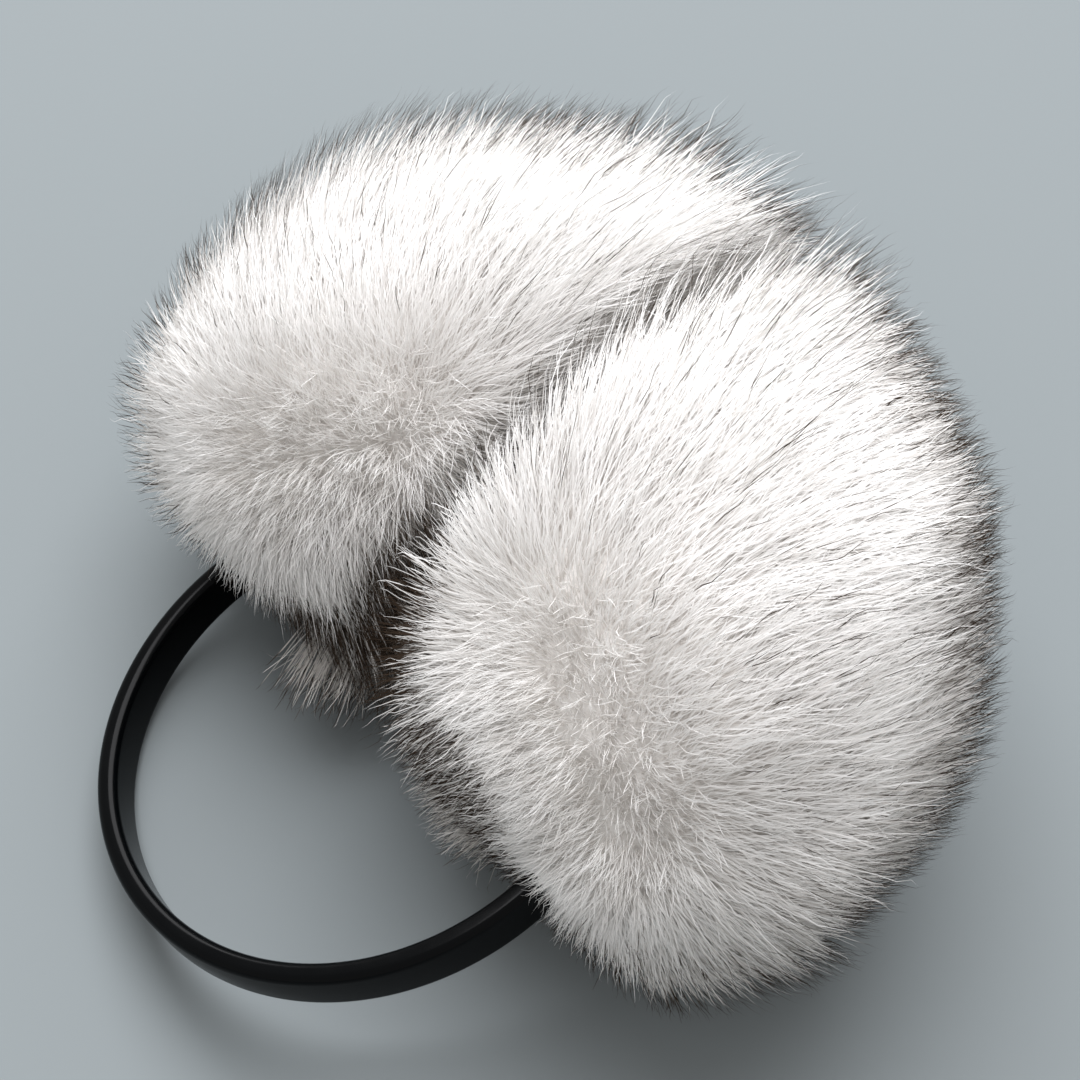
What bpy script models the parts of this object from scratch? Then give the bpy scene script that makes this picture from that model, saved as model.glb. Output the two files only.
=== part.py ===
# Fur earmuffs laid down on a flat surface: a sprung plastic hoop with a big fur puff on each end.
# Metres, +Z up, resting on z = 0. X runs from the left puff to the right one, Y from the hoop to the puffs.
import math
import random

import bmesh
import bpy
from mathutils import Matrix, Vector

# Headband: an oval section swept round an open hoop, which leans towards its left front
HOOP_RADIUS = 0.062  # to the middle of the section
BAND_WIDTH = 0.012  # along the hoop's axis
BAND_THICKNESS = 0.005  # across the hoop's wall
BAND_END_ANGLE = math.radians(44)  # how far each end runs past the hoop's middle, into its puff
HOOP_LEAN = math.radians(20)
LOW_SIDE = math.radians(-137)  # compass angle of the hoop's low side, from +X
FLOOR_GAP = 0.0003  # the band's low side stays this far above the surface
BAND_SECTION_SIDES = 16
BAND_STEP = math.radians(6)

# Puffs: half sizes are measured to the tips of the locks, from the puff's own middle
PUFF_HALF_THICKNESS = 0.067
PUFF_HALF_LENGTH = 0.088
PUFF_HALF_HEIGHT = 0.062
FLAT_DEPTH = 0.005  # how much of the backing the surface presses flat
PUFF_ACROSS = 0.038  # from the hoop's middle to the middle of each puff, along X
PARTING_SHIFT = -0.004  # the two puffs meet this far towards the left one
RIGHT_PUFF_AHEAD = 0.063  # from the hoop's middle, along Y
LEFT_PUFF_AHEAD = 0.075
RIGHT_PUFF_HEIGHT = 0.061  # of the puff's middle above the surface
LEFT_PUFF_HEIGHT = 0.050
RIGHT_PUFF_TURN = math.radians(42)  # the puffs point inwards, as the hoop's ends do
LEFT_PUFF_TURN = math.radians(-34)

# Locks: one on each face of a puff's backing
LOCK_LENGTH = 0.021
LOCK_NAP = 1.35  # how strongly a tip leans along the puff, against how far it stands off
FRONT_SHARE = 0.75  # length of the locks that face the hoop, against those at the far end
FACES_ACROSS = 9  # of each side of the cube that is blown up into the backing
CUBE_TURN = (0.6, 0.35, 0.8)  # turns the cube, so that no row of locks runs along an axis
JITTER = 0.035  # how far the backing's corners are moved, on a ball of radius 1
LOCK_TAPER = 0.62  # width of a lock at its bend, as a share of its root
LOCK_BEND = 0.55  # where along its length a lock bends
LENGTH_SPREAD = 0.25
EASING = 0.007  # a lock that comes this near the surface or the parting starts to lie along it

# Fits
PIECE_GAP = 0.0003  # between the two puffs, and round the band in its pocket
PRESSED = 0.0005  # a face with its middle this near the surface or the parting grows no lock
BAND_PARTING = 0.0135  # the hair parts this far from the middle of the band

# Low swellings and hollows. Angles are in the puff's own frame: azimuth from its +X, elevation from level.
# columns: puff, azimuth, elevation, spread, push as a share of the half thickness
SWELLINGS = (
    ("right_fur_puff", math.radians(-84), math.radians(-35), math.radians(34), 0.12),
    ("right_fur_puff", math.radians(4), math.radians(3), math.radians(30), -0.04),
    ("right_fur_puff", math.radians(45), math.radians(26), math.radians(26), 0.05),
    ("right_fur_puff", math.radians(-160), math.radians(5), math.radians(35), 0.06),
    ("left_fur_puff", math.radians(-105), math.radians(-8), math.radians(38), 0.10),
    ("left_fur_puff", math.radians(-34), math.radians(-27), math.radians(28), 0.13),
    ("left_fur_puff", math.radians(-138), math.radians(21), math.radians(28), 0.04),
)


def clear_scene():
    for item in list(bpy.data.objects):
        bpy.data.objects.remove(item, do_unlink=True)


def make_material(name, colour, roughness, coat=0.0):
    material = bpy.data.materials.new(name)
    material.use_nodes = True
    shader = material.node_tree.nodes["Principled BSDF"]
    shader.inputs["Base Color"].default_value = (*colour, 1.0)
    shader.inputs["Roughness"].default_value = roughness
    shader.inputs["Metallic"].default_value = 0.0
    shader.inputs["Coat Weight"].default_value = coat
    return material


def add_object(name, mesh_builder, material, placement):
    """Makes one named object from a bmesh that is in the object's own frame."""
    mesh = bpy.data.meshes.new(name)
    mesh_builder.to_mesh(mesh)
    mesh_builder.free()
    mesh.shade_smooth()
    mesh.set_sharp_from_angle(angle=math.radians(50))
    if material:
        mesh.materials.append(material)
    made = bpy.data.objects.new(name, mesh)
    bpy.context.scene.collection.objects.link(made)
    made.matrix_world = placement
    return made


def hoop_placement():
    """The hoop's middle is above the origin, so high that its low side just clears the surface."""
    hinge = Vector((-math.sin(LOW_SIDE), math.cos(LOW_SIDE), 0.0))
    drop = HOOP_RADIUS * math.sin(HOOP_LEAN)
    section_drop = math.hypot(BAND_WIDTH / 2 * math.cos(HOOP_LEAN), BAND_THICKNESS / 2 * math.sin(HOOP_LEAN))
    height = drop + section_drop + FLOOR_GAP
    return Matrix.Translation((0.0, 0.0, height)) @ Matrix.Rotation(HOOP_LEAN, 4, hinge)


def build_band(name, grow, material):
    """Sweeps the oval section from the right end round the front of the hoop to the left end."""
    overrun = grow / HOOP_RADIUS
    start = BAND_END_ANGLE + overrun
    sweep = math.pi + 2 * start
    bm = bmesh.new()
    ring = bmesh.ops.create_circle(bm, cap_ends=False, radius=1.0, segments=BAND_SECTION_SIDES)["verts"]
    for vert in ring:
        across = vert.co.x * (BAND_THICKNESS / 2 + grow)
        along = vert.co.y * (BAND_WIDTH / 2 + grow)
        vert.co = Vector((HOOP_RADIUS + across, 0.0, along))
    bmesh.ops.rotate(bm, verts=bm.verts, cent=(0, 0, 0), matrix=Matrix.Rotation(start, 3, "Z"))
    steps = math.ceil(sweep / BAND_STEP)
    bmesh.ops.spin(bm, geom=bm.edges[:], cent=(0, 0, 0), axis=(0, 0, 1), angle=-sweep, steps=steps)
    open_edges = [edge for edge in bm.edges if edge.is_boundary]
    bmesh.ops.holes_fill(bm, edges=open_edges, sides=BAND_SECTION_SIDES)
    bmesh.ops.recalc_face_normals(bm, faces=bm.faces)
    return add_object(name, bm, material, hoop_placement())


def band_distance(point, to_hoop):
    """How far a point lies from the middle line of the band."""
    own = to_hoop @ point
    angle = math.atan2(own.y, own.x)
    if BAND_END_ANGLE < angle < math.pi - BAND_END_ANGLE:
        end = BAND_END_ANGLE if own.x > 0 else math.pi - BAND_END_ANGLE
        return (own - Vector((math.cos(end), math.sin(end), 0.0)) * HOOP_RADIUS).length
    return math.hypot(math.hypot(own.x, own.y) - HOOP_RADIUS, own.z)


def swelling(name, direction):
    """The share by which the backing stands out, or in, along a direction from the puff's middle."""
    share = 0.0
    for puff, azimuth, elevation, spread, push in SWELLINGS:
        if puff == name:
            level = math.cos(elevation)
            towards = Vector((level * math.cos(azimuth), level * math.sin(azimuth), math.sin(elevation)))
            share += push * math.exp(-((direction.angle(towards) / spread) ** 2))
    return share


def press(point, planes):
    """Pushes a point that lies past a plane straight back onto it."""
    for origin, normal in planes:
        past = (point - origin).dot(normal)
        if past < 0:
            point = point - normal * past
    return point


def ease(point, planes):
    """Lays a lock's point along a plane that it would cross, without changing which lock is outermost."""
    for origin, normal in planes:
        past = (point - origin).dot(normal)
        if past < EASING:
            point = point + normal * (EASING * math.exp(past / EASING - 1) - past)
    return point


def lock_points(face, nap, chance, planes, to_hoop):
    """Ring at the bend and tip of a face's lock, or None where the fur is pressed or parts round the band."""
    root = face.calc_center_median()
    if any((root - origin).dot(normal) < PRESSED for origin, normal in planes):
        return None
    normal = face.normal.copy()
    along = nap - normal * nap.dot(normal)
    bend_way = (normal + along * LOCK_NAP * LOCK_BEND).normalized()
    tip_way = (normal + along * LOCK_NAP).normalized()
    facing = (1 + normal.dot(nap)) / 2
    length = LOCK_LENGTH * (FRONT_SHARE + (1 - FRONT_SHARE) * facing)
    length *= 1 + LENGTH_SPREAD * chance.uniform(-1, 1)
    bend = root + bend_way * length * LOCK_BEND
    ring = [ease(bend + (vert.co - root) * LOCK_TAPER, planes) for vert in face.verts]
    tip = ease(root + tip_way * length, planes)
    if min(band_distance(point, to_hoop) for point in (root, bend, tip)) < BAND_PARTING:
        return None
    return ring, tip


def grow_lock(bm, face, ring, tip):
    """Draws one face out into a tapering lock with a bend."""
    drawn = bmesh.ops.extrude_discrete_faces(bm, faces=[face])["faces"][0]
    for vert, place in zip(drawn.verts, ring):
        vert.co = place
    point = bmesh.ops.poke(bm, faces=[drawn])["verts"][0]
    point.co = tip


def build_puff(name, side, placing, seed, material, cutter):
    """One puff: a ball shaped by its half sizes and pressed by its neighbours, with a lock on each face."""
    chance = random.Random(seed)
    ahead, height, turn = placing
    placement = Matrix.Translation((side * PUFF_ACROSS, ahead, height)) @ Matrix.Rotation(turn, 4, "Z")
    nap = placement.to_3x3() @ Vector((0.0, 1.0, 0.0))
    to_hoop = hoop_placement().inverted()
    planes = (
        (Vector((PARTING_SHIFT + side * PIECE_GAP / 2, 0.0, 0.0)), Vector((side, 0.0, 0.0))),
        (Vector((0.0, 0.0, 0.0)), Vector((0.0, 0.0, 1.0))),
    )
    reach = LOCK_LENGTH / math.hypot(1.0, LOCK_NAP)
    half_thickness = PUFF_HALF_THICKNESS - reach
    half_length = PUFF_HALF_LENGTH - LOCK_LENGTH * (1 + FRONT_SHARE) / 2
    half_height = PUFF_HALF_HEIGHT - reach

    bm = bmesh.new()
    bmesh.ops.create_cube(bm, size=2.0)
    bmesh.ops.subdivide_edges(bm, edges=bm.edges[:], cuts=FACES_ACROSS - 1, use_grid_fill=True)
    cube_turn = Matrix.Rotation(CUBE_TURN[2], 3, "Z") @ Matrix.Rotation(CUBE_TURN[1], 3, "Y")
    cube_turn = cube_turn @ Matrix.Rotation(CUBE_TURN[0], 3, "X")
    for vert in bm.verts:
        even = Vector([math.tan(value * math.pi / 4) for value in vert.co])
        shift = Vector([chance.uniform(-JITTER, JITTER) for _ in range(3)])
        direction = (cube_turn @ even.normalized() + shift).normalized()
        upright = half_height if direction.z > 0 else height + FLAT_DEPTH
        own = Vector((direction.x * half_thickness, direction.y * half_length, direction.z * upright))
        own *= 1 + swelling(name, direction)
        vert.co = press(placement @ own, planes)
    bm.normal_update()

    locks = [(face, lock_points(face, nap, chance, planes, to_hoop)) for face in bm.faces]
    for face, points in locks:
        if points:
            grow_lock(bm, face, *points)
    bmesh.ops.transform(bm, matrix=placement.inverted(), verts=bm.verts)
    bmesh.ops.recalc_face_normals(bm, faces=bm.faces)
    puff = add_object(name, bm, material, placement)
    pocket = puff.modifiers.new("band_pocket", "BOOLEAN")
    pocket.operation = "DIFFERENCE"
    pocket.solver = "EXACT"
    pocket.object = cutter
    return puff


def centre_on_footprint(parts):
    """Parents the parts to an empty that puts the middle of their footprint at the origin."""
    shown = [part for part in parts if not part.hide_render]
    corners = [part.matrix_world @ vert.co for part in shown for vert in part.data.vertices]
    middle_x = (min(c.x for c in corners) + max(c.x for c in corners)) / 2
    middle_y = (min(c.y for c in corners) + max(c.y for c in corners)) / 2
    base = bpy.data.objects.new("footprint_middle", None)
    bpy.context.scene.collection.objects.link(base)
    for part in parts:
        part.parent = base
    base.location = (-middle_x, -middle_y, 0.0)


def main():
    clear_scene()
    plastic = make_material("moulded_black_plastic", (0.006, 0.006, 0.007), 0.32, coat=0.2)
    fur = make_material("white_grey_fur", (0.72, 0.71, 0.70), 0.9)
    band = build_band("headband", 0.0, plastic)
    cutter = build_band("band_clearance", PIECE_GAP, None)
    cutter.hide_render = True
    cutter.display_type = "WIRE"
    right_placing = (RIGHT_PUFF_AHEAD, RIGHT_PUFF_HEIGHT, RIGHT_PUFF_TURN)
    left_placing = (LEFT_PUFF_AHEAD, LEFT_PUFF_HEIGHT, LEFT_PUFF_TURN)
    right = build_puff("right_fur_puff", 1, right_placing, 11, fur, cutter)
    left = build_puff("left_fur_puff", -1, left_placing, 23, fur, cutter)
    bpy.context.view_layer.update()
    centre_on_footprint((band, cutter, right, left))


main()
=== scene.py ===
# %% [markdown]
# # Fur earmuffs on a plastic hoop
# The earmuffs lie on a table. A black sprung hoop leans on its low side, and a big white fox-type fur puff
# hides each of its ends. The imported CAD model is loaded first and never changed: it says where every part is.

# %% Load the frame
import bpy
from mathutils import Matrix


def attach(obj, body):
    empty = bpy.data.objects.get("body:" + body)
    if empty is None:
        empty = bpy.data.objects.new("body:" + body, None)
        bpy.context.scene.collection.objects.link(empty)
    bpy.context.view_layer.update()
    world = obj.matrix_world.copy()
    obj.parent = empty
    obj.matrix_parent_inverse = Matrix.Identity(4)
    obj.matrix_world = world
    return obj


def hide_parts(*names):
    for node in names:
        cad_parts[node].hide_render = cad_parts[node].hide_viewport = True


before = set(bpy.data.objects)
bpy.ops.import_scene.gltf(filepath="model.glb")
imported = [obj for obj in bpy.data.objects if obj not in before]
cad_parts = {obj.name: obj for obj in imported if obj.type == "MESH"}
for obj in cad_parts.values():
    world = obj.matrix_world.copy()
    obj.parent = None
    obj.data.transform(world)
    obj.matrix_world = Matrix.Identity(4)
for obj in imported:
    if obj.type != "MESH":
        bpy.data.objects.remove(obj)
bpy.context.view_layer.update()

import math

import bpy
import numpy as np
from mathutils import Matrix, Vector
from mathutils.kdtree import KDTree

scene = bpy.context.scene


# %% [markdown]
# ## Small helpers
# Colours are written as sRGB hex, as a painter reads them from a chart, and Blender's shaders want linear light,
# so one function turns one into the other. Another adds a node with its settings and its links.

# %% Helpers
def linear(hex_colour):
    """An sRGB hex colour as linear red, green, blue and alpha."""
    parts = [int(hex_colour[place:place + 2], 16) / 255 for place in (1, 3, 5)]
    return (*[part / 12.92 if part <= 0.04045 else ((part + 0.055) / 1.055) ** 2.4 for part in parts], 1.0)


def add_node(tree, kind, inputs=None, **settings):
    """Adds a node. An input is given by its name or place, as a plain value or as another node's output."""
    node = tree.nodes.new(kind)
    for field, value in settings.items():
        setattr(node, field, value)
    for place, value in (inputs or {}).items():
        if isinstance(value, bpy.types.NodeSocket):
            tree.links.new(value, node.inputs[place])
        else:
            node.inputs[place].default_value = value
    return node


def new_material(name):
    """An empty node material and its output node."""
    material = bpy.data.materials.new(name)
    material.use_nodes = True
    material.node_tree.nodes.clear()
    return material, material.node_tree.nodes.new("ShaderNodeOutputMaterial")


def only(obj):
    """Makes obj the one selected and active object."""
    bpy.ops.object.select_all(action="DESELECT")
    obj.select_set(True)
    bpy.context.view_layer.objects.active = obj


def print_shape(obj):
    """Prints how many faces a piece has, and its box in mm."""
    points = np.array([vert.co for vert in obj.data.vertices]) * 1000
    print(obj.name, len(obj.data.polygons), "faces, box mm", points.min(0).round(1), points.max(0).round(1))


def smoothstep(low, high, value):
    """0 at low and 1 at high, with a soft slope between. It falls instead where low is the greater one."""
    share = np.clip((value - low) / (high - low), 0.0, 1.0)
    return share * share * (3 - 2 * share)


# %% [markdown]
# ## Camera
# The camera looks down on the earmuffs at 55 degrees from the front right, a little rolled, as a hand-held one is.
# Its three axes are written out, because they come from one calibration and stay exactly square to each other.

# %% Camera
CAMERA_PLACE = Vector((0.1876, -0.2093, 0.4575))
CAMERA_ELEVATION = math.radians(55)
CAMERA_HEADING = math.radians(41.19)  # how far it turns left of +Y
CAMERA_ROLL = math.radians(6)
SENSOR_WIDTH = 36  # mm
FOCAL_LENGTH = 72.27  # mm
level = Vector((math.cos(CAMERA_HEADING), math.sin(CAMERA_HEADING), 0.0))
back = Vector((
    math.sin(CAMERA_HEADING) * math.cos(CAMERA_ELEVATION),
    -math.cos(CAMERA_HEADING) * math.cos(CAMERA_ELEVATION),
    math.sin(CAMERA_ELEVATION),
))
upright = back.cross(level)
right = level * math.cos(CAMERA_ROLL) + upright * math.sin(CAMERA_ROLL)
up = back.cross(right)
camera_data = bpy.data.cameras.new("camera")
camera_data.sensor_width = SENSOR_WIDTH
camera_data.lens = FOCAL_LENGTH
camera = bpy.data.objects.new("camera", camera_data)
scene.collection.objects.link(camera)
camera.matrix_world = Matrix.Translation(CAMERA_PLACE) @ Matrix((right, up, back)).transposed().to_4x4()
scene.camera = camera
print("camera axes:", [round(value, 3) for value in (*right, *up, *back)])

# %% [markdown]
# ## Floor and light
# A matt pale grey board lets the white fur and its dark tips both stand out. One big soft window stands behind the
# object to the upper left: it makes the tops of the puffs white and draws one stripe along the glossy hoop.
# The dim sky fills the shaded sides.

# %% Floor and light
FLOOR_SIZE = 6.0
only(camera)
bpy.ops.mesh.primitive_plane_add(size=FLOOR_SIZE)
floor = bpy.context.object
floor.name = "floor"
floor_finish, output = new_material("matt_board")
shader = add_node(floor_finish.node_tree, "ShaderNodeBsdfPrincipled", {
    "Base Color": linear("#7D8385"), "Roughness": 0.95, "Specular IOR Level": 0.1,
})
floor_finish.node_tree.links.new(shader.outputs[0], output.inputs["Surface"])
floor.data.materials.append(floor_finish)

WINDOW_WAY = Vector((-0.43, 0.36, 0.82)).normalized()
WINDOW_DISTANCE = 3.0
WINDOW_SIZE = 3.2
WINDOW_POWER = 210  # W
SKY_STRENGTH = 0.71
window_data = bpy.data.lights.new("window", "AREA")
window_data.energy = WINDOW_POWER
window_data.size = WINDOW_SIZE
window_data.color = linear("#FBFCFF")[:3]
window = bpy.data.objects.new("window", window_data)
window.location = WINDOW_WAY * WINDOW_DISTANCE
window.rotation_euler = WINDOW_WAY.to_track_quat("Z", "Y").to_euler()
scene.collection.objects.link(window)

sky = bpy.data.worlds.new("sky")
sky.use_nodes = True
sky.node_tree.nodes["Background"].inputs["Color"].default_value = linear("#F4F3F2")
sky.node_tree.nodes["Background"].inputs["Strength"].default_value = SKY_STRENGTH
scene.world = sky
scene.view_settings.view_transform = "Standard"
print("window light:", round(window_data.energy, 1), "W")

# %% [markdown]
# ## Headband
# The real hoop is one moulding of black ABS, springy enough to grip a head. Its section is a flat bar with well
# rounded rims. It could be a curve with a bevel, but a spun section is how such a ring is drawn in a workshop:
# a rectangle with rounded corners is turned round the hoop's middle, and stops where each end is inside its puff.

# %% Headband
HOOP_MIDDLE = Vector((0.00056, -0.04801, 0.02721))
HOOP_RADIUS = 0.062  # to the middle of the bar
HOOP_LEAN = math.radians(20)
LOW_SIDE = math.radians(-137)  # the heading of the side that the hoop leans on
BAND_END_ANGLE = math.radians(44)  # how far each end goes past the hoop's middle, into its puff
BAND_THICKNESS = 0.005
BAND_WIDTH = 0.012
RIM_RADIUS = 0.0019
RIM_STEPS = 8
BAND_STEPS = 160
WELD_WITHIN = 1e-6
SMOOTH_UNDER = math.radians(50)
hinge = Vector((-math.sin(LOW_SIDE), math.cos(LOW_SIDE), 0.0))
hoop_frame = Matrix.Translation(HOOP_MIDDLE) @ Matrix.Rotation(HOOP_LEAN, 4, hinge)


def make_band():
    """Spins a bar with rounded rims about the hoop's axis, and lays the hoop down as it leans."""
    only(floor)
    bpy.ops.mesh.primitive_plane_add(size=1.0, rotation=(math.pi / 2, 0.0, 0.0))
    band = bpy.context.object
    band.name = "headband_moulding"
    bpy.ops.object.transform_apply(location=True, rotation=True, scale=True)
    bpy.ops.object.mode_set(mode="EDIT")
    bpy.ops.mesh.select_all(action="SELECT")
    bpy.ops.transform.resize(value=(BAND_THICKNESS, 1.0, BAND_WIDTH))
    bpy.ops.mesh.bevel(offset=RIM_RADIUS, segments=RIM_STEPS, affect="VERTICES", profile=0.5)
    bpy.ops.mesh.select_all(action="SELECT")
    bpy.ops.mesh.delete(type="ONLY_FACE")
    bpy.ops.mesh.select_all(action="SELECT")
    bpy.ops.transform.translate(value=(HOOP_RADIUS, 0.0, 0.0))
    bpy.ops.transform.rotate(value=-BAND_END_ANGLE, orient_axis="Z", center_override=(0.0, 0.0, 0.0))
    bpy.ops.mesh.spin(
        steps=BAND_STEPS, angle=math.pi + 2 * BAND_END_ANGLE, center=(0.0, 0.0, 0.0), axis=(0.0, 0.0, 1.0)
    )
    bpy.ops.mesh.select_all(action="SELECT")
    bpy.ops.mesh.remove_doubles(threshold=WELD_WITHIN)
    bpy.ops.mesh.select_all(action="SELECT")
    bpy.ops.mesh.fill_holes(sides=0)
    bpy.ops.mesh.select_all(action="SELECT")
    bpy.ops.mesh.normals_make_consistent(inside=False)
    bpy.ops.object.mode_set(mode="OBJECT")
    band.matrix_world = hoop_frame
    bpy.ops.object.transform_apply(location=True, rotation=True, scale=True)
    bpy.ops.object.shade_smooth_by_angle(angle=SMOOTH_UNDER)
    return band


band = make_band()
print_shape(band)

# %% [markdown]
# ### Black ABS
# Glossy black ABS out of a polished mould: almost no colour of its own, a clear reflection that is a little soft,
# and a faint waviness where the plastic shrank as it cooled. The waves are about 8 mm long and 0.02 mm high.
# Handling has left patches about a centimetre wide that are a little duller.

# %% Black ABS
SHRINK_WAVE = 0.008
HANDLING_SCALE = 90.0  # patches for each metre
abs_plastic, output = new_material("black_abs_polished_mould")
tree = abs_plastic.node_tree
place = add_node(tree, "ShaderNodeTexCoord")
waves = add_node(tree, "ShaderNodeTexNoise", {
    "Vector": place.outputs["Object"], "Scale": 1 / SHRINK_WAVE, "Detail": 2.0,
})
handling = add_node(tree, "ShaderNodeTexNoise", {
    "Vector": place.outputs["Object"], "Scale": HANDLING_SCALE, "Detail": 4.0,
})
roughness = add_node(tree, "ShaderNodeMapRange", {
    "Value": handling.outputs["Fac"], "From Min": 0.35, "From Max": 0.7, "To Min": 0.16, "To Max": 0.24,
})
bump = add_node(tree, "ShaderNodeBump", {"Height": waves.outputs["Fac"], "Strength": 0.35, "Distance": 0.00006})
shader = add_node(tree, "ShaderNodeBsdfPrincipled", {
    "Base Color": linear("#020304"), "Roughness": roughness.outputs["Result"], "IOR": 1.53,
    "Specular IOR Level": 0.08, "Normal": bump.outputs["Normal"],
})
tree.links.new(shader.outputs[0], output.inputs["Surface"])
band.data.materials.append(abs_plastic)
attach(band, "root")
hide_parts("headband")
print("material", abs_plastic.name)

# %% [markdown]
# ## Backing of the puffs
# On the real earmuffs the fur grows from a stitched pelt over a stuffed core. The core is never seen, but it closes
# the view between the hairs and is what they are rooted on. The CAD puff, locks and all, is copied and merged,
# wrapped tightly from lock tip to lock tip, remeshed into one soft lump, and drawn inwards by the depth of the fur.

# %% Backing
MERGE_WITHIN = 1e-5
VOXEL = 0.004
FUR_DEPTH = 0.011
SMOOTH_ROUNDS = 12


def apply_modifier(obj, kind, **settings):
    """Adds a modifier, sets it and applies it at once."""
    modifier = obj.modifiers.new(kind.lower(), kind)
    for field, value in settings.items():
        setattr(modifier, field, value)
    bpy.ops.object.modifier_apply(modifier=modifier.name)


def make_backing(node_name, name):
    """A smooth closed lump inside one CAD puff."""
    backing = bpy.data.objects.new(name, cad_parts[node_name].data.copy())
    scene.collection.objects.link(backing)
    backing.data.materials.clear()
    only(backing)
    bpy.ops.object.mode_set(mode="EDIT")
    bpy.ops.mesh.select_all(action="SELECT")
    bpy.ops.mesh.remove_doubles(threshold=MERGE_WITHIN)
    bpy.ops.mesh.select_all(action="SELECT")
    bpy.ops.mesh.convex_hull(use_existing_faces=False, make_holes=False, join_triangles=False)
    bpy.ops.object.mode_set(mode="OBJECT")
    apply_modifier(backing, "REMESH", mode="VOXEL", voxel_size=VOXEL)
    apply_modifier(backing, "SMOOTH", factor=0.5, iterations=SMOOTH_ROUNDS)
    apply_modifier(backing, "DISPLACE", strength=-FUR_DEPTH, mid_level=0.0)
    apply_modifier(backing, "SMOOTH", factor=0.5, iterations=SMOOTH_ROUNDS)
    bpy.ops.object.shade_smooth()
    return backing


backings = {side: make_backing(side + "_fur_puff", side + "_puff_backing") for side in ("right", "left")}
for backing in backings.values():
    print_shape(backing)

# %% [markdown]
# ### Pelt
# The pelt is tanned skin with short dense wool on it. It is only glimpsed between hairs, so it is matt, nearly as
# bright as they are and mottled at the size of a tuft of wool. Only at the parting, where the two puffs press
# together and the fur is thin and shaded, is the wool painted brown as painted shade. Its distance from the parting
# decides that.

# %% Pelt
WOOL_TUFT = 0.003
PARTING_PLACE = -0.00344  # the puffs meet where x has this value
PAINTED_SHADE_WOOL = (0.005, 0.014)  # painted shade: from brown to bright, measured from the parting
pelt, output = new_material("woolly_tanned_pelt")
tree = pelt.node_tree
place = add_node(tree, "ShaderNodeTexCoord")
tufts = add_node(tree, "ShaderNodeTexNoise", {
    "Vector": place.outputs["Object"], "Scale": 1 / WOOL_TUFT, "Detail": 3.0,
})
tone = add_node(tree, "ShaderNodeMix", {
    0: tufts.outputs["Fac"], 6: linear("#B9B3AD"), 7: linear("#F4F2F0"),
}, data_type="RGBA")
bump = add_node(tree, "ShaderNodeBump", {"Height": tufts.outputs["Fac"], "Strength": 0.8, "Distance": 0.001})
sides = add_node(tree, "ShaderNodeSeparateXYZ", {0: place.outputs["Object"]})
apart = add_node(tree, "ShaderNodeMath", {0: sides.outputs["X"], 1: PARTING_PLACE}, operation="SUBTRACT")
apart = add_node(tree, "ShaderNodeMath", {0: apart.outputs[0]}, operation="ABSOLUTE")
# painted shade: the wool is painted brown near the parting, where the puffs shade each other
clear = add_node(tree, "ShaderNodeMapRange", {
    "Value": apart.outputs[0], "From Min": PAINTED_SHADE_WOOL[0], "From Max": PAINTED_SHADE_WOOL[1],
})
tone = add_node(tree, "ShaderNodeMix", {
    0: clear.outputs[0], 6: linear("#3A322C"), 7: tone.outputs[2],
}, data_type="RGBA")
shader = add_node(tree, "ShaderNodeBsdfPrincipled", {
    "Base Color": tone.outputs[2], "Roughness": 0.95, "Specular IOR Level": 0.1, "Normal": bump.outputs["Normal"],
})
tree.links.new(shader.outputs[0], output.inputs["Surface"])
for side, backing in backings.items():
    backing.data.materials.append(pelt)
    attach(backing, "root")
    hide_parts(side + "_fur_puff")
print("material", pelt.name)

# %% [markdown]
# ## How the fur lies
# Each puff has one whorl on its front, where the hair stands up. From there it lies down in all directions and is
# combed towards the far end. Blender's own hair would need curves, which no other program reads as a mesh, so every
# hair here is a thin tapering ribbon, made in arrays. This cell holds the places and ways that all hairs share.

# %% Where the fur lies
WHORLS = {  # each is a short line, from one end to the other
    "right": ((0.0413, -0.0398, 0.0940), (0.0747, -0.0546, 0.0830)),
    "left": ((-0.0490, -0.0422, 0.0700), (-0.0225, -0.0224, 0.0900)),
}
COMBED_WAY = {"right": (0.45, 0.80, 0.1), "left": (0.25, 0.95, 0.1)}
WHITE_FACE_WAY = (0.25, -0.42, 0.87)  # the way that the white faces of the puffs look
SIDE_SIGN = {"right": 1.0, "left": -1.0}
WAVER_TURNS = ((1.0, 0.7, -0.4), (-0.6, 1.0, 0.8), (0.5, -0.9, 1.0))


def unit(vectors):
    """Vectors of length 1 along the last axis."""
    return vectors / np.maximum(np.linalg.norm(vectors, axis=-1, keepdims=True), 1e-9)


def along_surface(vectors, normals):
    """What is left of the vectors once their part along the normals is taken off."""
    return vectors - normals * np.sum(vectors * normals, axis=-1, keepdims=True)


def waver(points, size, strength, phase):
    """A smooth field of small vectors, which changes over about one size."""
    turns = points @ np.array(WAVER_TURNS).T / size
    mixed = np.sin(turns[..., [1, 2, 0]] * 1.7 + phase) + np.sin(turns + phase * 2.3)
    return mixed * strength / 2


def backing_arrays(side):
    """Places and smooth normals of a backing's vertices."""
    vertices = backings[side].data.vertices
    places, facing = np.empty(len(vertices) * 3), np.empty(len(vertices) * 3)
    vertices.foreach_get("co", places)
    vertices.foreach_get("normal", facing)
    return places.reshape(-1, 3), facing.reshape(-1, 3)


def from_whorl(side, points):
    """The way from the nearest place on the whorl's line to each point."""
    start, stop = (np.array(backings[side].closest_point_on_mesh(Vector(end))[1]) for end in WHORLS[side])
    line = stop - start
    place = np.clip((points - start) @ line / (line @ line), 0.0, 1.0)[:, None]
    return points - (start + line * place)


def from_parting(points):
    """How far each point is from the plane between the puffs."""
    return np.abs(points[:, 0] - PARTING_PLACE)


print("whorls, middles in mm:", {side: (np.mean(ends, axis=0) * 1000).round(1) for side, ends in WHORLS.items()})

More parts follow.
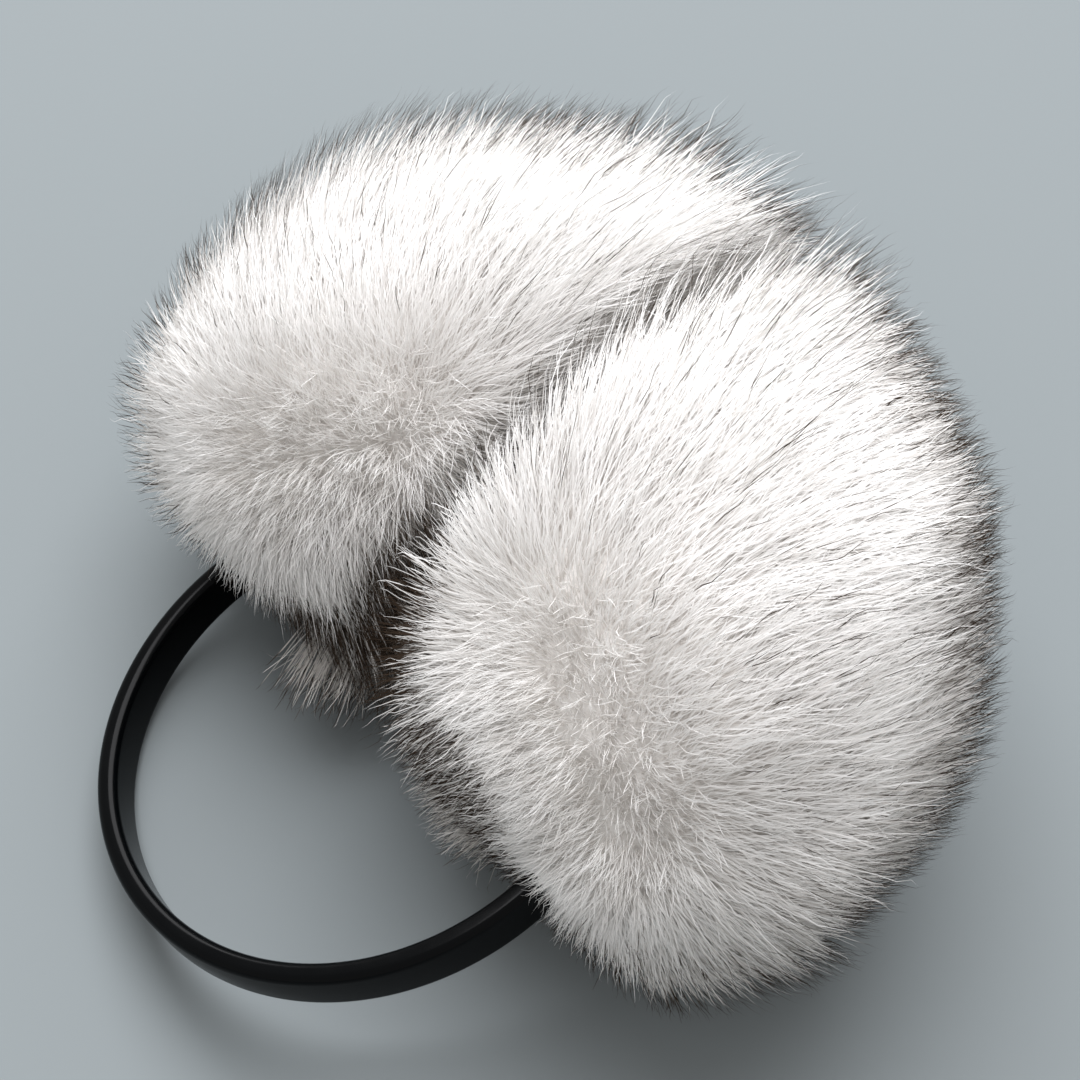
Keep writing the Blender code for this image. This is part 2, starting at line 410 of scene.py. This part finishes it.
# %% [markdown]
# ### Roots
# A pelt grows its hairs evenly, so a triangle of the backing gets roots by its area, and each root falls anywhere on
# its triangle. Fewer are spent underneath and between the puffs, which nobody sees. A coat's look may ask for more
# on the rim, where its tips draw the fringe, and round the whorl, where short hair would let the pelt show.

# %% Roots
HIDDEN_CUT = 0.7  # how much thinner the fur is underneath and between the puffs
UNDERNEATH = (-0.3, -0.7)  # the range of the normal's z where that begins and is full
INWARDS = (0.6, 0.9)  # the same for how far the normal points at the other puff
BETWEEN = (0.035, 0.020)  # the same for the distance from the parting
RIM_ROOTS = (0.75, 0.4)  # the same for the rim: how far the normal points out of the white face
WHORL_ROOTS = (0.028, 0.010)  # the same for the distance from the whorl


def scatter_roots(side, count, look, chance):
    """Roots over the backing, with the smooth normal at each."""
    mesh = backings[side].data
    mesh.calc_loop_triangles()
    corners = np.empty(len(mesh.loop_triangles) * 3, np.int32)
    mesh.loop_triangles.foreach_get("vertices", corners)
    corners = corners.reshape(-1, 3)
    places, facing = backing_arrays(side)
    a, b, c = (places[corners[:, k]] for k in range(3))
    area = np.linalg.norm(np.cross(b - a, c - a), axis=1)
    way = unit(facing[corners].mean(1))
    area *= 1 + look["rim_share"] * smoothstep(*RIM_ROOTS, way @ np.array(WHITE_FACE_WAY))
    middles = places[corners].mean(1)
    inwards = -way[:, 0] * SIDE_SIGN[side] * smoothstep(*BETWEEN, from_parting(middles))
    area *= 1 - HIDDEN_CUT * np.maximum(smoothstep(*UNDERNEATH, way[:, 2]), smoothstep(*INWARDS, inwards))
    area *= 1 + look["whorl_share"] * smoothstep(*WHORL_ROOTS, np.linalg.norm(from_whorl(side, middles), axis=1))
    picked = chance.choice(len(area), count, p=area / area.sum())
    mix = chance.random((count, 2))
    mix[mix.sum(1) > 1] = 1 - mix[mix.sum(1) > 1]
    weights = np.stack([1 - mix.sum(1), mix[:, 0], mix[:, 1]], axis=1)[:, :, None]
    roots = (places[corners[picked]] * weights).sum(1)
    normals = unit((facing[corners[picked]] * weights).sum(1))
    return roots, normals


print("the fur is", HIDDEN_CUT, "thinner where it is hidden")

# %% [markdown]
# ### Hair that meets something
# Real hair bends where it meets the table, the other puff or the hoop. A simulation of so many hairs would take
# hours, so each point of a hair that comes too near one of them is eased along it, or pushed straight out of it.

# %% Keeping clear
EASING = 0.006  # hair begins to bend this far from the floor
PARTING_EASING = 0.004  # and this far from the other puff
FLOOR_CLEARANCE = 0.0004
HOOP_CLEARANCE = 0.0004


def ease(distance, depth):
    """Distances in front of a plane, with what comes too near or goes past laid softly along it."""
    return np.where(distance < depth, depth * np.exp(np.minimum(distance, depth) / depth - 1), distance)


def off_the_hoop(paths):
    """Moves points that lie inside the hoop's section straight out of it."""
    to_hoop = np.array(hoop_frame.inverted())
    own = paths @ to_hoop[:3, :3].T + to_hoop[:3, 3]
    round_hoop = np.arctan2(own[..., 1], own[..., 0])
    in_sweep = (round_hoop < BAND_END_ANGLE) | (round_hoop > math.pi - BAND_END_ANGLE)
    radius = np.hypot(own[..., 0], own[..., 1])
    along = np.clip(own[..., 2], -BAND_WIDTH / 2 + BAND_THICKNESS / 2, BAND_WIDTH / 2 - BAND_THICKNESS / 2)
    out, over = radius - HOOP_RADIUS, own[..., 2] - along
    apart = np.hypot(out, over)
    wanted = BAND_THICKNESS / 2 + HOOP_CLEARANCE
    push = np.where(in_sweep & (apart < wanted), wanted / np.maximum(apart, 1e-5), 1.0)
    new_radius = HOOP_RADIUS + out * push
    scale = new_radius / np.maximum(radius, 1e-9)
    own = np.stack([own[..., 0] * scale, own[..., 1] * scale, along + over * push], axis=-1)
    from_hoop = np.array(hoop_frame)
    return own @ from_hoop[:3, :3].T + from_hoop[:3, 3]


def keep_clear(side, paths, depth, crossing=0.0):
    """Lays hairs along the other puff, round the hoop and along the floor. Some may cross the parting a little."""
    sign = SIDE_SIGN[side]
    own_side = ease(sign * (paths[..., 0] - PARTING_PLACE) + crossing, depth) - crossing
    paths[..., 0] = PARTING_PLACE + sign * own_side
    paths = off_the_hoop(paths)
    paths[..., 2] = ease(paths[..., 2] - FLOOR_CLEARANCE, EASING) + FLOOR_CLEARANCE
    return paths


print("hair keeps", HOOP_CLEARANCE * 1000, "mm from the hoop")

# %% [markdown]
# ### Tufts
# Fox hairs cling together in tufts, and inside a tuft in wisps. Each hair finds the nearest of some leading hairs
# and its outer part is drawn towards it. This runs twice on every coat, once for the tufts and once for the wisps.

# %% Tufts
SKIN_AREA = 0.045  # of one puff, in square metres
FEWEST_TUFTS = 8
TIP_CROWDING = 1.3  # over 1 puts more of a hair's stations near its tip
TUFT_CURVE = 1.3  # over 1 leaves the root straighter and bends the tip more


def stations(steps):
    """Places along a hair, from root to tip, closer together near the tip."""
    return 1 - (1 - np.linspace(0, 1, steps + 1)) ** TIP_CROWDING


def nearest(points, centres):
    """Index of the centre that is nearest to each point."""
    finder = KDTree(len(centres))
    for index, centre in enumerate(centres):
        finder.insert(centre, index)
    finder.balance()
    return np.array([finder.find(point)[1] for point in points])


def gather(paths, roots, spacing, pull, chance):
    """Draws each hair's outer part towards one leading hair near it, so that tufts form."""
    count = max(FEWEST_TUFTS, int(SKIN_AREA / (spacing * spacing)))
    leaders = chance.choice(len(roots), min(count, len(roots)), replace=False)
    leader = leaders[nearest(roots, roots[leaders])]
    share = stations(paths.shape[1] - 1)[None, :, None] ** TUFT_CURVE * pull
    return paths * (1 - share) + (paths[leader] - (roots[leader] - roots)[:, None] * (1 - share)) * share


print("places along a hair of 4 steps:", stations(4).round(2))

# %% [markdown]
# ### Hair paths
# A hair stands up at the whorl and lies down within a few centimetres of it. It is shorter at the whorl, at the far
# end and near the table, and longer by the parting and on the left puff's upper far side, its crest. Each middle line
# is one quadratic curve: its first half leaves the skin steeply, and its last half follows the nap.

# %% Hair paths
COMB_SHARE, COMBING = 0.4, (0.015, 0.070)  # combing grows over this distance from the whorl
COMB_AGREEING = (-0.2, 0.6)  # no hair is combed back over the whorl
NAP_WAVE, NAP_WAVE_SHARE = 0.016, 0.2
SWIRL, SWIRL_REACH = 3, (0.024, 0.004)  # hair wanders four times as much at the whorl
FULL_LENGTH = (0.004, 0.055)  # hair grows longer over this distance from the whorl
FAR_END_CUT, FAR_END_Y, FAR_END_APART = 0.4, (0.040, 0.095), (0.050, 0.020)
LOW_CUT, LOW_Z = 0.3, (0.045, 0.015)
CREST_WAY = (-0.51, 0.61, 0.61)
CREST_GAIN, CREST_FACING = {"right": 0.0, "left": 0.25}, (0.3, 0.9)
PARTING_GAIN, PARTING_APART, PARTING_FACING = 0.6, (0.045, 0.015), (-0.4, 0.2)
CURL_AT_WHORL = 0.25


def comb(side, roots, normals, look, chance):
    """How far each root is from the whorl, and the way its hair runs along the skin."""
    whorl_way = from_whorl(side, roots)
    away = unit(along_surface(whorl_way, normals))
    reach = np.linalg.norm(whorl_way, axis=1)
    combed = along_surface(np.broadcast_to(np.array(COMBED_WAY[side]), roots.shape), normals)
    agreeing = smoothstep(*COMB_AGREEING, np.sum(away * combed, axis=1))
    share = (COMB_SHARE * smoothstep(*COMBING, reach) * agreeing)[:, None]
    waves = waver(roots, NAP_WAVE, NAP_WAVE_SHARE, 1.0 + SIDE_SIGN[side])
    nap = unit(away * (1 - share) + combed * share + waves)
    wander = look["wander"] * (1 + SWIRL * smoothstep(*SWIRL_REACH, reach))[:, None]
    return reach, unit(along_surface(nap + chance.normal(0, 1, roots.shape) * wander, normals))


def hair_lengths(side, roots, normals, reach, look, chance):
    """The length of each hair."""
    length = look["short"] + (look["long"] - look["short"]) * smoothstep(*FULL_LENGTH, reach)
    far_end = smoothstep(*FAR_END_Y, roots[:, 1]) * smoothstep(*FAR_END_APART, from_parting(roots))
    low_end = smoothstep(*LOW_Z, roots[:, 2])
    crest = CREST_GAIN[side] * smoothstep(*CREST_FACING, normals @ np.array(CREST_WAY))
    parting = smoothstep(*PARTING_APART, from_parting(roots)) * smoothstep(*PARTING_FACING, normals[:, 2])
    length = length * (1 + crest) * (1 - FAR_END_CUT * far_end) * (1 - LOW_CUT * low_end) * (1 + PARTING_GAIN * parting)
    return (length * chance.uniform(1 - look["spread"], 1 + look["spread"], len(roots)))[:, None]


def hair_paths(side, roots, normals, look, chance):
    """Middle lines of the hairs, count x (steps + 1) x 3, and how far each root is from the whorl."""
    reach, nap = comb(side, roots, normals, look, chance)
    laid = smoothstep(0.0, look["laid_by"], reach)[:, None]
    length = hair_lengths(side, roots, normals, reach, look, chance)
    first = unit(normals * (1 - 0.45 * laid) + nap * (0.3 + look["lean"] * laid))
    last = unit(normals * (0.7 - (0.72 - look["lift"]) * laid) + nap * (0.5 + 0.7 * laid))
    share = stations(look["steps"])[None, :, None]
    middle = roots[:, None] + first[:, None] * (length[:, None] * 0.5)
    end = middle + last[:, None] * (length[:, None] * 0.5)
    paths = roots[:, None] * (1 - share) ** 2 + middle * 2 * share * (1 - share) + end * share ** 2
    paths = gather(paths, roots, look["tuft"], look["tuft_pull"], chance)
    paths = gather(paths, roots, look["wisp"], look["wisp_pull"], chance)
    curl = chance.normal(0, look["curl"], paths.shape)
    paths = paths + curl * share * (CURL_AT_WHORL + (1 - CURL_AT_WHORL) * laid[:, None])
    crossing = (chance.random(len(roots)) ** 2 * look["crossing"])[:, None]
    return keep_clear(side, paths, PARTING_EASING, crossing), reach


print("hair reaches its full length", FULL_LENGTH[1] * 1000, "mm from the whorl")

# %% [markdown]
# ## Ribbons
# Each hair's middle line becomes a ribbon that narrows to a point. A ribbon's flat side faces out of the fur, turned
# by chance, so that it catches the light as a round hair does. Its UV map runs from root to tip in U, and V holds
# one number per hair, which the material turns into its tone or into how dark its tip is.

# %% Ribbons
RIBBON_TURN = 0.3  # radians, either way


def make_ribbons(name, paths, normals, width, tones, chance, finish):
    """One mesh object of many ribbons, with the UV map named hair."""
    count, points = paths.shape[:2]
    way = unit(np.gradient(paths, axis=1))
    across = unit(np.cross(way, normals[:, None]))
    over = np.cross(across, way)
    turn = chance.uniform(-RIBBON_TURN, RIBBON_TURN, count)[:, None, None]
    across = across * np.cos(turn) + over * np.sin(turn)
    share = stations(points - 1)
    half = (width[:, None] / 2 * (1 - share[None, :] ** 2))[:, :, None]
    one_side, other_side = paths - across * half, paths + across * half
    body = np.stack([one_side[:, :-1], other_side[:, :-1]], axis=2).reshape(count, -1, 3)
    verts = np.concatenate([body, paths[:, -1:]], axis=1)
    verts[..., 2] = np.maximum(verts[..., 2], FLOOR_CLEARANCE / 2)

    each = verts.shape[1]
    pattern, sizes = [], []
    for step in range(points - 2):
        pattern += [2 * step, 2 * step + 1, 2 * step + 3, 2 * step + 2]
        sizes.append(4)
    pattern += [each - 3, each - 2, each - 1]
    sizes.append(3)
    hair_index = np.arange(count)[:, None]
    loops = (np.array(pattern)[None] + hair_index * each).ravel()
    starts = (np.concatenate([[0], np.cumsum(sizes)[:-1]])[None] + hair_index * len(pattern)).ravel()
    mesh = bpy.data.meshes.new(name)
    mesh.vertices.add(count * each)
    mesh.vertices.foreach_set("co", verts.ravel())
    mesh.loops.add(len(loops))
    mesh.loops.foreach_set("vertex_index", loops)
    mesh.polygons.add(len(starts))
    mesh.polygons.foreach_set("loop_start", starts)
    mesh.update(calc_edges=True)

    along = np.append(np.repeat(share[:-1], 2), 1.0)
    uv = np.empty((count, len(pattern), 2))
    uv[..., 0] = along[pattern][None]
    uv[..., 1] = tones[:, None]
    mesh.uv_layers.new(name="hair").data.foreach_set("uv", uv.ravel())
    mesh.shade_smooth()
    mesh.materials.append(finish)
    hairs = bpy.data.objects.new(name, mesh)
    scene.collection.objects.link(hairs)
    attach(hairs, "root")
    print(name, count, "hairs,", count * (2 * (points - 2) + 1), "triangles")


print("a hair of 3 steps has 5 triangles, and one of 6 steps has 11")


# %% [markdown]
# ### Fox hair
# Fox fur has two coats. The soft underfur is white and carries no gloss. Where the fur is shaded, its outer part is
# painted brown-grey as painted shade. The long guard hairs are white too, with black-brown tips here and there on the
# tops and on most of them along the edges. Keratin lets light through, so part of the light that falls on a hair leaves
# on its other side, which keeps the depth of white fur bright. One finish serves both coats, with its own pale and tip
# colours.

# %% Fox hair
# a little grey: partly the hair's own colour at the root, partly painted shade of the depth of the fur
ROOT_COLOUR = "#E0DCD8"
WHITE_COLOUR = "#FFFEFD"
ROOT_FADES_BY = 0.5  # of a hair's length
TIP_REACH = 0.8  # the share of a hair that the longest dark tip covers
TIP_BLEND = 0.12  # the share of a hair over which the dark begins
GLOW = 0.25  # the share of the light that goes through


def hair_finish(name, pale, tip):
    """Keratin hair. V is 1 on a plain white hair and 0 on the palest shaft with the longest dark tip."""
    finish, output = new_material(name)
    tree = finish.node_tree
    uv = add_node(tree, "ShaderNodeUVMap", uv_map="hair")
    parts = add_node(tree, "ShaderNodeSeparateXYZ", {0: uv.outputs[0]})
    shaft = add_node(tree, "ShaderNodeMix", {
        0: parts.outputs["Y"], 6: linear(pale), 7: linear(WHITE_COLOUR),
    }, data_type="RGBA")
    rooted = add_node(tree, "ShaderNodeMapRange", {
        "Value": parts.outputs["X"], "From Min": 0.0, "From Max": ROOT_FADES_BY,
    })
    colour = add_node(tree, "ShaderNodeMix", {
        0: rooted.outputs[0], 6: linear(ROOT_COLOUR), 7: shaft.outputs[2],
    }, data_type="RGBA")
    bias = add_node(tree, "ShaderNodeMath", {
        0: parts.outputs["Y"], 1: -2 * TIP_REACH, 2: TIP_REACH,
    }, operation="MULTIPLY_ADD")
    reached = add_node(tree, "ShaderNodeMath", {0: parts.outputs["X"], 1: bias.outputs[0]}, operation="ADD")
    dark = add_node(tree, "ShaderNodeMapRange", {
        "Value": reached.outputs[0], "From Min": 1.0, "From Max": 1.0 + TIP_BLEND,
    })
    colour = add_node(tree, "ShaderNodeMix", {
        0: dark.outputs[0], 6: colour.outputs[2], 7: linear(tip),
    }, data_type="RGBA")
    front = add_node(tree, "ShaderNodeBsdfPrincipled", {
        "Base Color": colour.outputs[2], "Roughness": 0.6, "Specular IOR Level": 0.05, "IOR": 1.55,
    })
    through = add_node(tree, "ShaderNodeBsdfTranslucent", {"Color": colour.outputs[2]})
    both = add_node(tree, "ShaderNodeMixShader", {0: GLOW, 1: front.outputs[0], 2: through.outputs[0]})
    tree.links.new(both.outputs[0], output.inputs["Surface"])
    return finish


# the underfur's brown-grey tip colour is painted shade in the gap and on the low fur, and partly painted shade along
# the edges
underfur_finish = hair_finish("fox_underfur", pale="#CCC6C0", tip="#4A3F36")
guard_finish = hair_finish("fox_guard_hair", pale="#D6D2CE", tip="#392E25")
print("materials", underfur_finish.name, guard_finish.name)

# %% [markdown]
# ### Where the fur is dark
# On the tops the coat is white. It darkens round the rim, where the guard hairs' dark tips gather and the underfur's
# brown is partly painted shade, and along the parting. In the gap between the puffs and low on their shaded fronts the
# dark is painted shade. A painted image could hold this, but a rule on where a hair's tip ends up is the same from
# every side. Each range below gives the value where the dark begins, then the value where it is full.

# %% Where the fur is dark
RIM = (0.60, 0.26)  # how far the skin under the tip faces out of the white face
SEEN_AWAY = (0.020, 0.050)  # distance of the root from the whorl
MEETING_FACING, MEETING_APART, MEETING_Y = (0.3, 0.8), (0.045, 0.020), (0.070, 0.040)
PARTING_LINE, PARTING_LINE_SHARE = (0.005, 0.001), 0.45
GAP_Y, LOW_FRONT_Y = (0.040, 0.010), (0.0, -0.015)
GAP = {  # painted shade in the gap: distance from the parting, and z; on the low front: share, z and x
    "right": {
        "apart": (0.018, 0.007), "z": (0.094, 0.068),
        "low_share": 0.7, "low_z": (0.073, 0.058), "low_x": (0.054, 0.042),
    },
    "left": {
        "apart": (0.013, 0.004), "z": (0.086, 0.060),
        "low_share": 1.0, "low_z": (0.043, 0.034), "low_x": (-0.042, -0.030),
    },
}


def edge_share(side, reach, paths):
    """0 on the white face of a puff, 1 round its rim, on its far side and low down, less where the puffs meet."""
    tips = paths[:, -1]
    places, facing = backing_arrays(side)
    facing = facing[nearest(tips, places)]
    sideways = smoothstep(*RIM, facing @ np.array(WHITE_FACE_WAY))
    meeting = smoothstep(*MEETING_FACING, -facing[:, 0] * SIDE_SIGN[side])
    meeting = meeting * smoothstep(*MEETING_APART, from_parting(paths[:, 0]))
    sideways *= 1 - meeting * smoothstep(*MEETING_Y, tips[:, 1])
    parting = PARTING_LINE_SHARE * smoothstep(*PARTING_LINE, from_parting(tips))
    return np.maximum(sideways, parting) * smoothstep(*SEEN_AWAY, reach)


def painted_gap_shade(paths):
    """Share of painted shade: 1 deep between the two puffs and low on their fronts beside the parting, 0 elsewhere."""
    x, y, z = paths[:, -1].T
    dark = {}
    for side, where in GAP.items():
        deep = smoothstep(*where["apart"], from_parting(paths[:, -1]))
        deep = deep * smoothstep(*GAP_Y, y) * smoothstep(*where["z"], z)
        low = where["low_share"] * smoothstep(*where["low_z"], z) * smoothstep(*where["low_x"], x)
        dark[side] = np.maximum(deep, low * smoothstep(*LOW_FRONT_Y, y))
    return np.where(x > PARTING_PLACE, dark["right"], dark["left"])


print("the gap's dark fur begins at z =", {side: where["z"][0] for side, where in GAP.items()})

# %% [markdown]
# ## Underfur
# The dense short coat gives the puffs their white body. It is made in two pieces a puff, which share the same rules,
# so that no piece grows too heavy. Most of it is white, a little greyer round the whorl as painted shade, and mottled
# there at the size of a wisp. The brown hairs are strewn along the edges, partly as painted shade, and fill the gap as
# painted shade.

# %% Underfur
UNDERFUR_LOOK = {  # lengths in metres, pulls and shares from 0 to 1
    "short": 0.007, "long": 0.0150, "spread": 0.25, "lean": 0.6, "lift": 0.0, "laid_by": 0.035, "wander": 0.3,
    "tuft": 0.0075, "tuft_pull": 0.15, "wisp": 0.0028, "wisp_pull": 0.12, "curl": 0.0006, "crossing": 0.002,
    "rim_share": 0.0, "whorl_share": 0.8, "steps": 3, "width": 0.00031,
}
UNDERFUR_PER_PIECE = 23000
# brown, edge, gap and gap_darker set painted shade: brown hairs along the edges and in the gap, darker still deep in
# the gap
UNDERFUR_TONES = {"white": (0.70, 1.0), "brown": (0.2, 0.45), "edge": 0.55, "gap": 0.95, "gap_darker": 0.3}
# painted shade: the underfur is greyer round the whorl, in a mottle that varies at random at the size of a wisp
MOTTLE_AND_SHADE, MOTTLE_SIZE, MOTTLE_REACH = 0.22, 0.0028, (0.030, 0.010)
WIDTH_SPREAD = (0.7, 1.3)
WHORL_WIDTH, WHORL_FINE_REACH = 0.6, (0.004, 0.025)  # hair is finer at the whorl


def grow(side, name, look, count, tone_rule, finish, seed):
    """One piece of fur on one puff."""
    chance = np.random.default_rng(seed)
    roots, normals = scatter_roots(side, count, look, chance)
    paths, reach = hair_paths(side, roots, normals, look, chance)
    fine = WHORL_WIDTH + (1 - WHORL_WIDTH) * smoothstep(*WHORL_FINE_REACH, reach)
    widths = look["width"] * chance.uniform(*WIDTH_SPREAD, count) * fine
    tones = tone_rule(side, reach, paths, chance)
    make_ribbons(name, paths, normals, widths, tones, chance, finish)


def underfur_tone(side, reach, paths, chance):
    """White on top, greyer round the whorl, paler with brown tips along the edges, and brown deep between the puffs.
    The grey round the whorl and the brown in the gap are painted shade, and the brown along the edges is partly painted
    shade.
    """
    tones = UNDERFUR_TONES
    edge = edge_share(side, reach, paths)
    gap = painted_gap_shade(paths)
    brown = chance.random(len(reach)) < np.maximum(tones["edge"] * edge, tones["gap"] * gap)
    mottled = smoothstep(*MOTTLE_REACH, reach) * (0.5 + 0.5 * waver(paths[:, 0], MOTTLE_SIZE, 1.6, 0.7)[:, 0])
    white = chance.uniform(*tones["white"], len(reach)) - MOTTLE_AND_SHADE * mottled
    tone = np.where(brown, chance.uniform(*tones["brown"], len(reach)) - tones["gap_darker"] * gap, white)
    return np.clip(tone, 0.01, 0.99)


for side, seed in (("right", 100), ("left", 200)):
    for part in (1, 2):
        name = f"{side}_underfur_{part}"
        grow(side, name, UNDERFUR_LOOK, UNDERFUR_PER_PIECE, underfur_tone, underfur_finish, seed + part)

# %% [markdown]
# ## Guard hairs
# Guard hairs are fewer and well over half as long again, so their tips stand out past the underfur. The tips are what
# draws the dark streaks over the tops, the dark line where the puffs meet and the fringe round the outline. Being
# longer, each has twice as many steps: it bends more smoothly, and its small faces are quicker to render.

# %% Guard hairs
GUARD_LOOK = {
    "short": 0.006, "long": 0.0250, "spread": 0.2, "lean": 0.55, "lift": 0.36, "laid_by": 0.040, "wander": 0.22,
    "tuft": 0.009, "tuft_pull": 0.2, "wisp": 0.004, "wisp_pull": 0.12, "curl": 0.0004, "crossing": 0.004,
    "rim_share": 1.5, "whorl_share": 0.0, "steps": 6, "width": 0.00027,
}
GUARDS_PER_PUFF = 13500
# gap_darker: painted shade, longer dark tips deep in the gap
GUARD_TONES = {"tip": (0.10, 0.36), "top": 0.26, "edge": 0.80, "gap_darker": 0.15}
TIPS_BEGIN = (0.015, 0.032)  # distance from the whorl where the dark tips set in
PLAIN_TONE, PLAIN_GAIN, PLAIN_REACH = 0.55, 0.44, (0.010, 0.030)


def guard_tone(side, reach, paths, chance):
    """Few dark tips on the tops, most of the hairs along the edges, and none near the whorl. Deep in the gap between
    the puffs the tips are darkened as painted shade.
    """
    tones = GUARD_TONES
    count = len(reach)
    edge = edge_share(side, reach, paths)
    gap = painted_gap_shade(paths)
    dark = chance.random(count) < np.maximum(tones["top"] * smoothstep(*TIPS_BEGIN, reach) + tones["edge"] * edge, gap)
    tip = chance.uniform(*tones["tip"], count)
    plain = PLAIN_TONE + PLAIN_GAIN * chance.random(count) * smoothstep(*PLAIN_REACH, reach)
    return np.where(dark, np.maximum(tip - tones["gap_darker"] * gap, 0.01), plain)


for side, seed in (("right", 300), ("left", 400)):
    grow(side, f"{side}_guard_hair", GUARD_LOOK, GUARDS_PER_PUFF, guard_tone, guard_finish, seed)

# %% [markdown]
# ### Low fur
# Low on their fronts, beside the parting, a second and shaded layer of fur hangs from the puffs towards the table.
# It is painted browner than the white coat over it, as painted shade. It is made like the other fur, rooted only on
# that low front, and every hair hangs the same way instead of following the nap.

# %% Low fur
LOW_HAIRS = 48000  # over a whole puff, before those outside the low front are left out
LOW_STEPS, LOW_WIDTH, LOW_WANDER = 3, 0.00028, 0.25
LOW_SPREAD = (0.7, 1.15)
LOW_FRONT, LOW_FACING = -0.008, -0.15  # the roots' greatest y, and the greatest y of their normals
LOW_FUR = {  # the roots' range in x and greatest z, and the hairs' way, length and tones; the dark tones are painted shade
    "left": {
        "x": (-0.031, -0.003), "top": 0.030, "way": (0.3, -0.95, -0.45), "length": 0.022,
        "tones": (0.07, 0.38), "seed": 500,
    },
    "right": {
        "x": (0.002, 0.042), "top": 0.040, "way": (-0.30, -0.90, -0.30), "length": 0.015,
        "tones": (0.16, 0.56), "seed": 600,
    },
}


def grow_low_fur(side, where):
    """Fur on the low front of one puff, painted brown-grey as painted shade."""
    chance = np.random.default_rng(where["seed"])
    roots, normals = scatter_roots(side, LOW_HAIRS, UNDERFUR_LOOK, chance)
    kept = (roots[:, 2] < where["top"]) & (roots[:, 1] < LOW_FRONT) & (normals[:, 1] < LOW_FACING)
    kept &= (roots[:, 0] > where["x"][0]) & (roots[:, 0] < where["x"][1])
    roots, normals = roots[kept], normals[kept]
    count = len(roots)
    way = unit(np.array(where["way"]) + chance.normal(0, LOW_WANDER, (count, 3)))
    length = where["length"] * chance.uniform(*LOW_SPREAD, count)[:, None, None]
    share = stations(LOW_STEPS)[None, :, None]
    paths = roots[:, None] + (normals[:, None] * (share - share ** 2) + way[:, None] * share) * length
    paths = gather(paths, roots, spacing=0.007, pull=0.3, chance=chance)
    paths = gather(paths, roots, spacing=0.003, pull=0.1, chance=chance)
    paths = keep_clear(side, paths, EASING)
    tones = chance.uniform(*where["tones"], count)
    widths = LOW_WIDTH * chance.uniform(*WIDTH_SPREAD, count)
    make_ribbons(f"{side}_low_fur", paths, normals, widths, tones, chance, underfur_finish)


for side, where in LOW_FUR.items():
    grow_low_fur(side, where)
